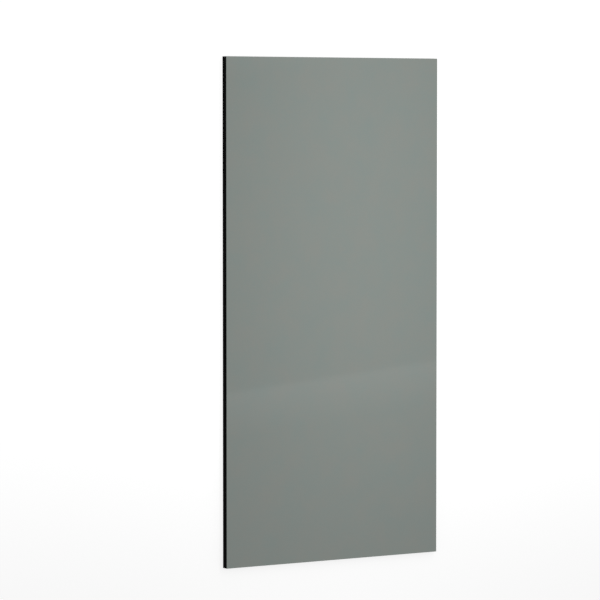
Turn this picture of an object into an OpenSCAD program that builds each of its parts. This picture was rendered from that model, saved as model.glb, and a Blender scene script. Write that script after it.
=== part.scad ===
// Full decorative laminate sheet, 4 by 8 ft, pressed as one solid with a black core.
// It lies flat with its decorative face up. The origin is the centre of its back face,
// +X runs across the width, +Y along the length and +Z out of the decorative face.

/* [Sheet] */
// Width of the trimmed sheet, along X
sheet_width = 1220; // [600:10:1600]
// Length of the trimmed sheet, along Y
sheet_length = 2440; // [1200:10:3660]
// Thickness from the back face to the decorative face
sheet_thickness = 35; // [4:1:40]

/* [Trimmed edges] */
// Width of the 45 degree easing on the arrises of the decorative face
face_arris = 0.6; // [0.2:0.1:1.5]
// Width of the 45 degree easing on the arrises of the back face
back_arris = 1.0; // [0.2:0.1:1.5]
// Radius of the four upright corners
corner_radius = 2.0; // [1.6:0.1:10]

/* [Hidden] */
// Facets of a full round
$fn = 64;
// Grey-green of the decorative face
decor_colour = [0.52, 0.55, 0.53];

// Distance from the middle of the sheet to the centres of its corners, along X and Y
corner_x = sheet_width / 2 - corner_radius;
corner_y = sheet_length / 2 - corner_radius;

// Trimmed edge seen in section: from the inner line x = 0 out to the edge at x = reach,
// with the arris eased at the back and at the decorative face
module edge_section(reach) {
    polygon([
        [0, 0],
        [reach - back_arris, 0],
        [reach, back_arris],
        [reach, sheet_thickness - face_arris],
        [reach - face_arris, sheet_thickness],
        [0, sheet_thickness],
    ]);
}

// Whole section across the sheet, with a trimmed edge on either side
module sheet_section(width) {
    edge_section(width / 2);
    mirror([1, 0]) edge_section(width / 2);
}

// Straight run of the sheet along Y, between the corners, with the two long edges
module long_edged_run() {
    rotate([90, 0, 0])
        linear_extrude(height = 2 * corner_y, center = true)
            sheet_section(sheet_width);
}

// Straight run of the sheet along X, between the corners, with the two short edges
module short_edged_run() {
    rotate([90, 0, 90])
        linear_extrude(height = 2 * corner_x, center = true)
            sheet_section(sheet_length);
}

// Rounded corner, turned from the same edge section
module rounded_corner() {
    rotate_extrude() edge_section(corner_radius);
}

// The pressed sheet, trimmed to size
module laminate_sheet() {
    color(decor_colour)
        union() {
            long_edged_run();
            short_edged_run();
            for (x = [-corner_x, corner_x], y = [-corner_y, corner_y])
                translate([x, y, 0]) rounded_corner();
        }
}

laminate_sheet();
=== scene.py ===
import math

import bpy
import numpy as np
from mathutils import Matrix, Vector


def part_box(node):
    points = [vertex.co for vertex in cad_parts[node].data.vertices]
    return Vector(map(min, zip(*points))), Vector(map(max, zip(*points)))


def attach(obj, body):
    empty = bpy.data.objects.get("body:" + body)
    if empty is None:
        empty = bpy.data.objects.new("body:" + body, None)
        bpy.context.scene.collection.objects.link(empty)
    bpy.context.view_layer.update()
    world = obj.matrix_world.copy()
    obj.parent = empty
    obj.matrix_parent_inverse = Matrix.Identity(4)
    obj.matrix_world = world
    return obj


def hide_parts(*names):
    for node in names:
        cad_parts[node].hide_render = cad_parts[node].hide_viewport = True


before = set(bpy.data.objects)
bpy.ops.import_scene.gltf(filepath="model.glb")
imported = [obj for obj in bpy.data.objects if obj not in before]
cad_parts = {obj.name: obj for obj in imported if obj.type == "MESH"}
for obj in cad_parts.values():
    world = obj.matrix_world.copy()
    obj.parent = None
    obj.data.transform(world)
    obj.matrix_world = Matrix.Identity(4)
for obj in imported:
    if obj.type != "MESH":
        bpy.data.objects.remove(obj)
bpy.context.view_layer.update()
sheetLow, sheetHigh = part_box("laminate_sheet")
print("frame loaded:", *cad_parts, [round(v, 4) for v in sheetHigh - sheetLow])


# The trimmed sheet. Its width, length and thickness come from the frame.
sheetForm = {
    "cornerRadius": 0.002,  # of the four upright corners
    "faceArris": 0.0006,  # width of the eased arris of the decorative face
    "backArris": 0.0010,  # width of the eased arris of the back
    "arrisSoftness": 0.00022,  # how far the eased arrises are rounded into their neighbours
    "decorDepth": 0.0003,  # decor paper and overlay, down to the black core
    "rimInset": 0.0014,  # from the outline to where the flat faces begin
    "cornerCells": 4,  # grid cells across a rounded corner
    "cellSize": 0.016,  # about how wide the grid cells of the flat faces are
    "roundSteps": 3,  # facets in each small rounding
    "waveDepth": 0.00006,  # how far the pressed face dips between its high spots
    "waveCount": 9,
    "waveLengths": (0.16, 0.55),  # the shortest and the longest wave
    "waveFade": 0.06,  # width of the border over which the waves die out
    "waveSeed": 14,
    # Shares of the square picture that the sheet's colours are drawn on
    "mapGap": 0.004,
    "mapFace": 0.480,  # width of the decorative face on it
    "mapBack": 0.355,
    "mapEdge": 0.045,  # width of each of the three strips that hold the four edges
}


def gridLines(half, radius, cell, cornerCells):
    # Places of the grid lines from -half to half: even cells between the corner centres, and
    # cornerCells finer ones over the radius at each end.
    reach = half - radius
    inner = np.linspace(-reach, reach, int(round(2 * reach / cell)) + 1)
    outer = reach + radius * np.arange(1, cornerCells + 1) / cornerCells
    return np.concatenate([-outer[::-1], inner, outer])


def roundedGrid(halfX, halfY, form, inset):
    # A rectangle's grid bent into four round corners. Past the corner centre the two distances,
    # a and b as shares of the radius, become a * sqrt(1 - b^2 / 2) and b * sqrt(1 - a^2 / 2),
    # which takes the square's rim onto the arc and leaves the straight sides alone.
    radius = form["cornerRadius"]
    reachX, reachY = halfX - radius, halfY - radius
    x, y = np.meshgrid(
        gridLines(halfX, radius, form["cellSize"], form["cornerCells"]),
        gridLines(halfY, radius, form["cellSize"], form["cornerCells"]),
    )
    a = np.clip((np.abs(x) - reachX) / radius, 0, 1)
    b = np.clip((np.abs(y) - reachY) / radius, 0, 1)
    small = radius - inset
    bentX = np.minimum(np.abs(x), reachX) + small * a * np.sqrt(1 - b**2 / 2)
    bentY = np.minimum(np.abs(y), reachY) + small * b * np.sqrt(1 - a**2 / 2)
    return np.sign(x) * bentX, np.sign(y) * bentY


def rimOf(grid):
    # The grid's outermost values in order round the sheet, counterclockwise from above: along the
    # foot, right, head and left edge.
    return np.concatenate([grid[0, :-1], grid[:-1, -1], grid[-1, :0:-1], grid[:0:-1, 0]])


def pressWaves(x, y, halfX, halfY, form):
    # Height of the pressed face against flat, from 0 down to -waveDepth: long cosine waves in
    # several directions, added up, and faded out over the last waveFade before the rim.
    rng = np.random.default_rng(form["waveSeed"])
    count = form["waveCount"]
    turns = rng.uniform(0, math.pi, count)
    lengths = rng.uniform(*form["waveLengths"], count)
    shifts = rng.uniform(0, 2 * math.pi, count)
    phase = (x[..., None] * np.cos(turns) + y[..., None] * np.sin(turns)) * 2 * math.pi / lengths
    swell = 0.5 + np.cos(phase + shifts).sum(-1) / (2 * count)
    inside = np.minimum(halfX - np.abs(x), halfY - np.abs(y))
    fade = np.clip((inside - form["rimInset"]) / form["waveFade"], 0, 1)
    return -form["waveDepth"] * swell * fade * fade * (3 - 2 * fade)


def softCorner(before, corner, after, softness, steps):
    # A small rounding of a section's corner: the quadratic curve from a point just before it to
    # one just after it, pulled towards the corner.
    before, corner, after = np.array(before), np.array(corner), np.array(after)
    start = corner + (before - corner) / np.linalg.norm(before - corner) * softness
    end = corner + (after - corner) / np.linalg.norm(after - corner) * softness
    t = np.linspace(0, 1, steps + 1)[:, None]
    return (1 - t) ** 2 * start + 2 * t * (1 - t) * corner + t**2 * end


def edgeSection(thickness, form):
    # The trimmed edge in section, from the rim of the back up to the rim of the decorative face,
    # as pairs of inset from the outline and height. The decor line is a pair of its own.
    face, back, rim = form["faceArris"], form["backArris"], form["rimInset"]
    corners = [(rim, 0), (back, 0), (0, back)]
    corners += [(0, thickness - face), (face, thickness), (rim, thickness)]
    runs = [
        softCorner(*corners[i - 1 : i + 2], form["arrisSoftness"], form["roundSteps"])
        for i in range(1, len(corners) - 1)
    ]
    depth = form["decorDepth"]
    decorLine = (max(face - depth, 0), thickness - depth)
    return np.vstack([corners[0], *runs[:-1], decorLine, runs[-1], corners[-1]])


def sectionSlots(section, thickness, form):
    # The material between each two points of the section: 2 on the back, 0 above the decor line
    # and 1 for the core between them.
    middles = (section[:-1, 1] + section[1:, 1]) / 2
    slots = np.where(middles > thickness - form["decorDepth"], 0, 1)
    return np.where(middles <= 0, 2, slots)


def edgeBand(outline, rim, section, low, form):
    # The section carried round the sheet: each of its points stands in from the outline by its
    # inset, on the way to the rim of the flat faces. The rims themselves belong to the faces.
    outward = (outline - rim) / form["rimInset"]
    ring = outline[None] - section[1:-1, :1, None] * outward[None]
    height = np.broadcast_to(low + section[1:-1, 1:, None], ring.shape[:2] + (1,))
    return np.concatenate([ring, height], -1).reshape(-1, 3)


def quads(index):
    # The faces of a grid of point numbers, each as four numbers in counterclockwise order.
    return np.stack(
        [index[:-1, :-1], index[:-1, 1:], index[1:, 1:], index[1:, :-1]], -1
    ).reshape(-1, 4)


def flatPlaces(at, form):
    # Places on the picture for points of the decorative face and of the back, each seen square
    # on: u and v are the shares of the sheet's width and length, and the back is mirrored in u.
    gap, tall = form["mapGap"], 1 - 2 * form["mapGap"]
    across = (at[..., 0] - sheetLow.x) / (sheetHigh.x - sheetLow.x)
    v = gap + tall * (at[..., 1] - sheetLow.y) / (sheetHigh.y - sheetLow.y)
    onFace = np.stack([gap + form["mapFace"] * across, v], -1)
    backLeft = 2 * gap + form["mapFace"]
    onBack = np.stack([backLeft + form["mapBack"] * (1 - across), v], -1)
    return onFace, onBack


def edgePlaces(outline, sides, section, slots, form):
    # Places on the picture for the quads of the band, row by row. u falls with the climb, the
    # share of the way up the core along the section, and v grows with the share of the way along
    # the quad's own edge. The long edges have a strip each, and the foot and head share the third.
    step = np.linalg.norm(np.roll(outline, -1, 0) - outline, axis=1)
    walked = np.cumsum(step) - step
    side, first = np.repeat(np.arange(4), sides), np.cumsum(sides) - sides
    sideLength = np.add.reduceat(step, first)[side]
    begin = (walked - walked[first][side]) / sideLength
    end = begin + step / sideLength
    along = np.stack([begin, end, end, begin], -1)

    climb = np.append(0, np.cumsum(np.hypot(*np.diff(section, axis=0).T)))
    core = np.flatnonzero(slots == 1)
    climb = (climb - climb[core[0]]) / (climb[core[-1] + 1] - climb[core[0]])
    up = np.stack([climb[:-1], climb[:-1], climb[1:], climb[1:]], -1)[:, None]

    gap, wide = form["mapGap"], form["mapEdge"]
    whole, half = 1 - 2 * gap, (1 - 3 * gap) / 2
    strips = 3 * gap + form["mapFace"] + form["mapBack"] + (wide + gap) * np.arange(3)
    left = strips[[2, 0, 2, 1]][side, None]  # for the foot, right, head and left edge
    low = np.array([gap, gap, 2 * gap + half, gap])[side, None]
    tall = np.array([half, whole, half, whole])[side, None]
    places = np.broadcast_arrays(left + wide * (1 - up), low + tall * along)
    return np.stack(places, -1).reshape(-1, 4, 2)


def sheetSurface(form):
    # One closed surface: the back grid, the edge section carried round the outline, and the face
    # grid, which share their rims. Gives its points, its faces, their material slots (0 decorative
    # face, 1 black core, 2 sanded back) and their places on the picture.
    halfX, halfY = (sheetHigh.x - sheetLow.x) / 2, (sheetHigh.y - sheetLow.y) / 2
    low, thickness = sheetLow.z, sheetHigh.z - sheetLow.z
    flatX, flatY = roundedGrid(halfX, halfY, form, form["rimInset"])
    waves = pressWaves(flatX, flatY, halfX, halfY, form)
    outline = np.stack([rimOf(v) for v in roundedGrid(halfX, halfY, form, 0)], -1)
    rim = np.stack([rimOf(flatX), rimOf(flatY)], -1)
    section = edgeSection(thickness, form)
    bandSlots = sectionSlots(section, thickness, form)

    back = np.stack([flatX, flatY, np.full_like(flatX, low)], -1).reshape(-1, 3)
    band = edgeBand(outline, rim, section, low, form)
    face = np.stack([flatX, flatY, low + thickness + waves], -1).reshape(-1, 3)
    points = np.concatenate([back, band, face])

    rows, columns = flatX.shape
    around = len(outline)
    backGrid = np.arange(rows * columns).reshape(rows, columns)
    faceGrid = backGrid + len(back) + len(band)
    rings = len(back) + np.arange(len(band)).reshape(-1, around)
    rings = np.vstack([rimOf(backGrid), rings, rimOf(faceGrid)])
    backFaces, faceFaces = quads(backGrid)[:, ::-1], quads(faceGrid)
    bandFaces = quads(np.hstack([rings, rings[:, :1]]))
    faces = np.concatenate([backFaces, bandFaces, faceFaces])
    slots = np.concatenate([
        np.full(len(backFaces), 2), np.repeat(bandSlots, around), np.zeros(len(faceFaces), int)
    ])

    sides = np.array([columns - 1, rows - 1] * 2)  # quads along each edge
    onFace, onBack = flatPlaces(points[faces], form)
    onEdge = np.zeros_like(onFace)
    onEdge[len(backFaces) : -len(faceFaces)] = edgePlaces(outline, sides, section, bandSlots, form)
    places = np.choose(slots[:, None, None], [onFace, onEdge, onBack])
    return points, faces, slots, places


def makeSheet(form):
    # The surface as a mesh, with a map of its own.
    points, faces, slots, places = sheetSurface(form)
    mesh = bpy.data.meshes.new("sheet")
    mesh.from_pydata(points.tolist(), [], faces.tolist())
    mesh.polygons.foreach_set("material_index", slots.astype(np.int32))
    mesh.polygons.foreach_set("use_smooth", np.ones(len(slots), bool))
    layer = mesh.uv_layers.new(name="OFBake")  # the map of the sheet's colours
    layer.uv.foreach_set("vector", places.astype(np.float32).ravel())
    mesh.update()
    piece = bpy.data.objects.new("laminate_sheet_dressed", mesh)
    bpy.context.scene.collection.objects.link(piece)
    return piece


# Node helpers
def addNode(tree, kind, values=None, **settings):
    # A node with its settings. Each of the values, by its socket's name or number, is a plain
    # value, an output that feeds the socket, or a node whose first output does.
    node = tree.nodes.new(kind)
    for key, value in settings.items():
        setattr(node, key, value)
    for key, value in (values or {}).items():
        source = value.outputs[0] if isinstance(value, bpy.types.Node) else value
        if isinstance(source, bpy.types.NodeSocket):
            tree.links.new(source, node.inputs[key])
        else:
            node.inputs[key].default_value = source
    return node


def newMaterial(name):
    # A material whose nodes are still to be added.
    material = bpy.data.materials.new(name)
    material.use_nodes = True
    material.node_tree.nodes.clear()
    return material, material.node_tree


def newGroup(name, inputs, outputs):
    # A shader node group with named sockets, each a name, a kind and for inputs a value.
    group = bpy.data.node_groups.new(name, "ShaderNodeTree")
    for socketName, kind, value in inputs:
        socket = group.interface.new_socket(socketName, in_out="INPUT", socket_type=kind)
        if value is not None:
            socket.default_value = value
    for socketName, kind in outputs:
        group.interface.new_socket(socketName, in_out="OUTPUT", socket_type=kind)
    return group, addNode(group, "NodeGroupInput").outputs


def useGroup(tree, group, place, values):
    # The outputs of a group that is laid over the surface by its coordinates.
    return addNode(tree, "ShaderNodeGroup", {"Vector": place, **values}, node_tree=group).outputs


def objectPlace(tree):
    return addNode(tree, "ShaderNodeTexCoord").outputs["Object"]


def cloudNoise(tree, place, scale, detail, roughness=0.5):
    return addNode(tree, "ShaderNodeTexNoise", {
        "Vector": place, "Scale": scale, "Detail": detail, "Roughness": roughness,
    })


def calculate(tree, operation, first, second, **settings):
    return addNode(tree, "ShaderNodeMath", {0: first, 1: second}, operation=operation, **settings)


def calculateVector(tree, operation, values):
    return addNode(tree, "ShaderNodeVectorMath", values, operation=operation)


def blendValues(tree, share, first, second):
    # The value that lies share of the way from the first to the second.
    return addNode(tree, "ShaderNodeMix", {0: share, 2: first, 3: second}, data_type="FLOAT")


def blendColours(tree, share, first, second):
    # The same for two fixed colours.
    colours = {6: (*first, 1), 7: (*second, 1)}
    return addNode(tree, "ShaderNodeMix", {0: share, **colours}, data_type="RGBA").outputs[2]


def remap(tree, value, source, target, **settings):
    # The value with the range source taken onto the range target, and held beyond its ends.
    return addNode(tree, "ShaderNodeMapRange", {
        "Value": value, "From Min": source[0], "From Max": source[1],
        "To Min": target[0], "To Max": target[1],
    }, **settings)


def anyRay(tree, *kinds):
    # 1 for rays of the named kinds and 0 for others.
    path = addNode(tree, "ShaderNodeLightPath").outputs
    found = path[kinds[0]]
    for kind in kinds[1:]:
        found = calculate(tree, "MAXIMUM", found, path[kind])
    return found


def addSurface(tree, colour, roughness, relief, finish):
    # The shader and output of a finish, with the relief's pattern as bumps of reliefHeight.
    bump = addNode(tree, "ShaderNodeBump", {
        "Strength": 1.0, "Distance": finish["reliefHeight"], "Height": relief,
    })
    shader = addNode(tree, "ShaderNodeBsdfPrincipled", {
        "Base Color": colour, "Roughness": roughness, "Normal": bump,
        "Specular IOR Level": finish["specular"],
    })
    addNode(tree, "ShaderNodeOutputMaterial", {"Surface": shader})


def mottleGroup():
    # Cloudy variation: a broad noise and a fine one, mixed by Fineness, spread round 1 by Amount.
    # A scale is about how many clouds lie along a metre.
    group, into = newGroup(
        "mottle",
        [
            ("Vector", "NodeSocketVector", None),
            ("Broad Scale", "NodeSocketFloat", 10.0),
            ("Fine Scale", "NodeSocketFloat", 200.0),
            ("Fineness", "NodeSocketFloat", 0.5),
            ("Amount", "NodeSocketFloat", 0.1),
        ],
        [("Factor", "NodeSocketFloat"), ("Height", "NodeSocketFloat")],
    )
    broad = cloudNoise(group, into["Vector"], into["Broad Scale"], detail=2.0)
    fine = cloudNoise(group, into["Vector"], into["Fine Scale"], detail=1.0)
    height = blendValues(group, into["Fineness"], broad, fine)
    swing = calculate(group, "MULTIPLY", calculate(group, "SUBTRACT", height, 0.5), into["Amount"])
    factor = calculate(group, "ADD", swing, 1.0)
    addNode(group, "NodeGroupOutput", {"Factor": factor, "Height": height})
    return group


def strokesGroup():
    # Fine parallel lines with ragged ends: noise on coordinates stretched by Spread, sharpened by
    # Sharpness. Spread is about how many lines lie along a metre of each axis, so they run along
    # an axis where it is small.
    group, into = newGroup(
        "strokes",
        [
            ("Vector", "NodeSocketVector", None),
            ("Spread", "NodeSocketVector", (600.0, 4.0, 600.0)),
            ("Sharpness", "NodeSocketFloat", 1.5),
        ],
        [("Lines", "NodeSocketFloat")],
    )
    stretched = calculateVector(group, "MULTIPLY", {0: into["Vector"], 1: into["Spread"]})
    grain = cloudNoise(group, stretched, scale=1.0, detail=3.0, roughness=0.6)
    centred = calculate(group, "SUBTRACT", grain, 0.5)
    steep = calculate(group, "MULTIPLY", centred, into["Sharpness"])
    lines = calculate(group, "ADD", steep, 0.5, use_clamp=True)
    addNode(group, "NodeGroupOutput", {"Lines": lines})
    return group


# The gloss decorative face
decorFinish = {
    "cool": (0.1743, 0.2226, 0.2088),  # the hue wanders round the middle of these two
    "warm": (0.2181, 0.2220, 0.1992),
    "hues": {"Broad Scale": 9.0, "Fine Scale": 60.0, "Fineness": 0.3},
    # Slow unevenness of the pressed colour, and the fibres of the decor paper
    "clouds": {"Broad Scale": 7.0, "Fine Scale": 420.0, "Fineness": 0.45, "Amount": 0.03},
    "roughness": (0.05, 0.07),
    "peelScale": 160.0,  # faint ripple of the press plate's polish
    "reliefHeight": 0.0000012,
    "specular": 0.5,
}


def makeDecor(mottle):
    # Two tints mixed by the slow hues and shaded by the clouds, under a faintly rippled gloss.
    finish = decorFinish
    material, tree = newMaterial("decorGloss")
    place = objectPlace(tree)
    hues = useGroup(tree, mottle, place, finish["hues"])
    clouds = useGroup(tree, mottle, place, finish["clouds"])
    tint = blendColours(tree, hues["Height"], finish["cool"], finish["warm"])
    colour = calculateVector(tree, "SCALE", {0: tint, "Scale": clouds["Factor"]})
    roughness = remap(tree, clouds["Height"], (0, 1), finish["roughness"])
    peel = cloudNoise(tree, place, finish["peelScale"], detail=1.0)
    addSurface(tree, colour, roughness, peel, finish)
    return material


# The black core that shows at the trimmed edges
coreFinish = {
    "dark": (0.0006, 0.0006, 0.0007),
    "light": (0.0160, 0.0156, 0.0150),
    "plies": {"Spread": (3.0, 3.0, 1500.0), "Sharpness": 2.2},  # pressed papers, along the edge
    "speckle": {"Broad Scale": 45.0, "Fine Scale": 900.0, "Fineness": 0.6},
    "speckleShare": 0.35,
    "onset": (0.52, 0.86),  # where in the two patterns the paler lines begin and are whole
    "cuts": {"Spread": (700.0, 700.0, 6.0), "Sharpness": 1.6},  # cutter marks, up the edge
    "roughness": (0.5, 0.68),
    "reliefHeight": 0.00002,
    "specular": 0.006,
}


def makeCore(mottle, strokes):
    # Black, paler where plies and speckle are both high, with the cutter marks as relief.
    finish = coreFinish
    material, tree = newMaterial("blackCore")
    place = objectPlace(tree)
    plies = useGroup(tree, strokes, place, finish["plies"])["Lines"]
    speckle = useGroup(tree, mottle, place, finish["speckle"])["Height"]
    cuts = useGroup(tree, strokes, place, finish["cuts"])["Lines"]
    pattern = blendValues(tree, finish["speckleShare"], plies, speckle)
    paleness = remap(tree, pattern, finish["onset"], (0, 1))
    colour = blendColours(tree, paleness, finish["dark"], finish["light"])
    addSurface(tree, colour, remap(tree, cuts, (0, 1), finish["roughness"]), cuts, finish)
    return material


# The sanded back, which is bonded to a board or a carcass
backFinish = {
    "dark": (0.008, 0.007, 0.006),
    "light": (0.072, 0.064, 0.057),
    "scratches": {"Spread": (700.0, 7.0, 700.0), "Sharpness": 3.2},  # of the belt, lengthwise
    "patches": {"Broad Scale": 4.0, "Fine Scale": 260.0, "Fineness": 0.25},
    "patchShare": 0.30,
    "tracks": {"Spread": (38.0, 0.45, 38.0), "Sharpness": 3.4},  # broader tracks of the belt
    "trackShare": 0.36,
    "roughness": (0.62, 0.82),
    "reliefHeight": 0.00003,
    "specular": 0.35,
}


def makeBack(mottle, strokes):
    # Dark, paler along scratches and tracks and in patches, with the scratches as relief.
    finish = backFinish
    material, tree = newMaterial("sandedBack")
    place = objectPlace(tree)
    scratches = useGroup(tree, strokes, place, finish["scratches"])["Lines"]
    patches = useGroup(tree, mottle, place, finish["patches"])["Height"]
    tracks = useGroup(tree, strokes, place, finish["tracks"])["Lines"]
    worn = blendValues(tree, finish["patchShare"], scratches, patches)
    pattern = blendValues(tree, finish["trackShare"], worn, tracks)
    colour = blendColours(tree, pattern, finish["dark"], finish["light"])
    addSurface(tree, colour, remap(tree, pattern, (0, 1), finish["roughness"]), scratches, finish)
    return material


sheet = makeSheet(sheetForm)
mottle, strokes = mottleGroup(), strokesGroup()
for material in (makeDecor(mottle), makeCore(mottle, strokes), makeBack(mottle, strokes)):
    sheet.data.materials.append(material)
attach(sheet, "root")
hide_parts("laminate_sheet")
print("sheet built,", len(sheet.data.polygons), "faces")


# Camera, as the photograph looks at the sheet: a long lens, turned from square to the face
cameraSetup = {
    "lens": 206.79,  # in mm, as the sensor is
    "sensor": 36.0,
    "distance": 16.602,
    "turn": 32.794,  # degrees towards the left edge
    "tilt": 3.0,  # degrees towards the head edge
    "aim": (-0.1944, 0.0524),  # point of the face in the middle of the picture
    "clipEnd": 400.0,  # past the far corners of the floor
}


def makeCamera(setup):
    # It stands off the aim along the turned and tilted normal, with the sheet's length upright.
    turn, tilt = math.radians(setup["turn"]), math.radians(setup["tilt"])
    towards = Vector((
        -math.sin(turn) * math.cos(tilt), math.sin(tilt), math.cos(turn) * math.cos(tilt)
    ))
    aim = Vector((*setup["aim"], sheetHigh.z))
    right = Vector((0, 1, 0)).cross(towards).normalized()
    up = towards.cross(right)
    data = bpy.data.cameras.new("camera")
    data.lens, data.sensor_width = setup["lens"], setup["sensor"]
    data.clip_end = setup["clipEnd"]
    camera = bpy.data.objects.new("camera", data)
    bpy.context.scene.collection.objects.link(camera)
    camera.matrix_world = (
        Matrix.Translation(aim + towards * setup["distance"])
        @ Matrix((right, up, towards)).transposed().to_4x4()
    )
    bpy.context.scene.camera = camera


makeCamera(cameraSetup)
print("camera placed")


# The studio's white surround
surroundSetup = {
    "ambient": 0.60,  # what it gives the object
    "seen": 1.0,  # what the camera sees, directly or in gloss
}


def makeSurround(setup):
    world = bpy.data.worlds.new("surround")
    world.use_nodes = True
    bpy.context.scene.world = world
    tree = world.node_tree
    background = tree.nodes["Background"]
    background.inputs["Color"].default_value = (1, 1, 1, 1)
    seen = anyRay(tree, "Is Camera Ray", "Is Glossy Ray", "Is Transmission Ray")
    strength = blendValues(tree, seen, setup["ambient"], setup["seen"])
    tree.links.new(strength.outputs[0], background.inputs["Strength"])


def makePlane(name, reach, level, facing, material):
    # A square plane through the whole scene, with its front up, or down where facing is -1.
    corners = [
        (x * reach, y * reach * facing, level) for x, y in ((-1, -1), (1, -1), (1, 1), (-1, 1))
    ]
    mesh = bpy.data.meshes.new(name)
    mesh.from_pydata(corners, [], [(0, 1, 2, 3)])
    mesh.materials.append(material)
    plane = bpy.data.objects.new(name, mesh)
    bpy.context.scene.collection.objects.link(plane)
    return plane


# The pale floor
floorSetup = {
    "reach": 150.0,
    "gap": 0.0004,  # below the back face
    "glow": 0.857,  # own light, so that the floor stays white where only the surround lights it
    "colour": 0.24,
    "shadeCentre": (-0.5, -5.0),  # painted shade: a soft greyer pool on the floor in front of the foot edge
    "shadeReach": (8.7, 5.03),  # across and along, from its centre out to where it ends
    "shadeCore": 0.66,  # share of the reach over which it is evenly grey
    "shadeDepth": 0.09,
}


def paintedShadePool(tree, setup):
    # 1 minus a soft oval dip of painted shade: shadeDepth over its core, nothing beyond its reach.
    reachX, reachY = setup["shadeReach"]
    centre = (*setup["shadeCentre"], 0)
    offset = calculateVector(tree, "SUBTRACT", {0: objectPlace(tree), 1: centre})
    share = calculateVector(tree, "MULTIPLY", {0: offset, 1: (1 / reachX, 1 / reachY, 0)})
    away = calculateVector(tree, "LENGTH", {0: share}).outputs["Value"]
    levels = (1 - setup["shadeDepth"], 1)
    return remap(tree, away, (setup["shadeCore"], 1), levels, interpolation_type="SMOOTHERSTEP")


def floorMaterial(setup):
    # Pale and diffuse with some light of its own, a little darker in the painted shade of the
    # pool, plain white in reflections, and clear from below, so that the back can be looked at.
    material, tree = newMaterial("paleFloor")
    # painted shade: the pool greys both the floor's colour and its own light
    shade = paintedShadePool(tree, setup)
    colour = calculateVector(tree, "SCALE", {0: (setup["colour"],) * 3, "Scale": shade})
    diffuse = addNode(tree, "ShaderNodeBsdfDiffuse", {"Color": colour})
    strength = calculate(tree, "MULTIPLY", shade, setup["glow"])
    glow = addNode(tree, "ShaderNodeEmission", {"Strength": strength})
    both = addNode(tree, "ShaderNodeAddShader", {0: diffuse, 1: glow})
    white = addNode(tree, "ShaderNodeEmission", {"Strength": 1.0})
    mirrored = anyRay(tree, "Is Glossy Ray", "Is Transmission Ray")
    above = addNode(tree, "ShaderNodeMixShader", {0: mirrored, 1: both, 2: white})
    clear = addNode(tree, "ShaderNodeBsdfTransparent")
    below = addNode(tree, "ShaderNodeNewGeometry").outputs["Backfacing"]
    surface = addNode(tree, "ShaderNodeMixShader", {0: below, 1: above, 2: clear})
    addNode(tree, "ShaderNodeOutputMaterial", {"Surface": surface})
    material.cycles.emission_sampling = "NONE"  # found by the rays alone, without a seam
    return material


def makeFloor(setup):
    # It neither blocks nor sends back light, so the surround lights the back too.
    level = sheetLow.z - setup["gap"]
    floor = makePlane("floor", setup["reach"], level, 1, floorMaterial(setup))
    floor.visible_diffuse = False
    floor.visible_shadow = False


# Strip panels overhead, which only the gloss shows: the light line across the face
stripSetup = {
    "height": 2.4,
    "reach": 12.0,
    "firstLine": (1.56, -0.539),  # a point on the sharp edge of the strip that the face shows
    "turn": 5.15,  # degrees between the strips and the short edges
    "spacing": 2.0,
    "width": 0.25,
    "boost": 0.47,  # how much brighter than the surround a strip is at its sharp edge
}


def stripMaterial(setup):
    # White light, one strip every spacing: each has a sharp edge towards the head of the sheet
    # and fades into the white surround over its width.
    material, tree = newMaterial("stripPanels")
    turn = math.radians(setup["turn"])
    across = (math.sin(turn), -math.cos(turn), 0)  # from a sharp edge into its strip
    start = -sum(a * b for a, b in zip(across, setup["firstLine"]))
    along = calculateVector(tree, "DOT_PRODUCT", {0: objectPlace(tree), 1: across})
    shifted = calculate(tree, "ADD", along.outputs["Value"], start)
    within = calculate(tree, "FLOORED_MODULO", shifted, setup["spacing"])
    level = remap(tree, within, (0, setup["width"]), (1 + setup["boost"], 1))
    light = addNode(tree, "ShaderNodeEmission", {"Strength": level})
    addNode(tree, "ShaderNodeOutputMaterial", {"Surface": light})
    material.cycles.emission_sampling = "NONE"
    return material


def makeStrips(setup):
    # Hidden from every ray but the glossy ones.
    strips = makePlane("strips", setup["reach"], setup["height"], -1, stripMaterial(setup))
    strips.visible_camera = False
    strips.visible_diffuse = False
    strips.visible_shadow = False
    strips.visible_transmission = False


# One long soft lamp above the sheet, along it and nearer its head
lampSetup = {
    "place": (0.21, 0.74, 1.65),
    "size": (0.3, 3.4),
    "power": 22.5,
}


def makeLamp(setup):
    data = bpy.data.lights.new("softbox", "AREA")
    data.shape, data.energy = "RECTANGLE", setup["power"]
    data.size, data.size_y = setup["size"]
    lamp = bpy.data.objects.new("softbox", data)
    bpy.context.scene.collection.objects.link(lamp)
    lamp.location = setup["place"]
    lamp.visible_camera = False
    lamp.visible_glossy = False


makeSurround(surroundSetup)
makeFloor(floorSetup)
makeStrips(stripSetup)
makeLamp(lampSetup)
bpy.context.scene.view_settings.view_transform = "Standard"
print("studio lit")
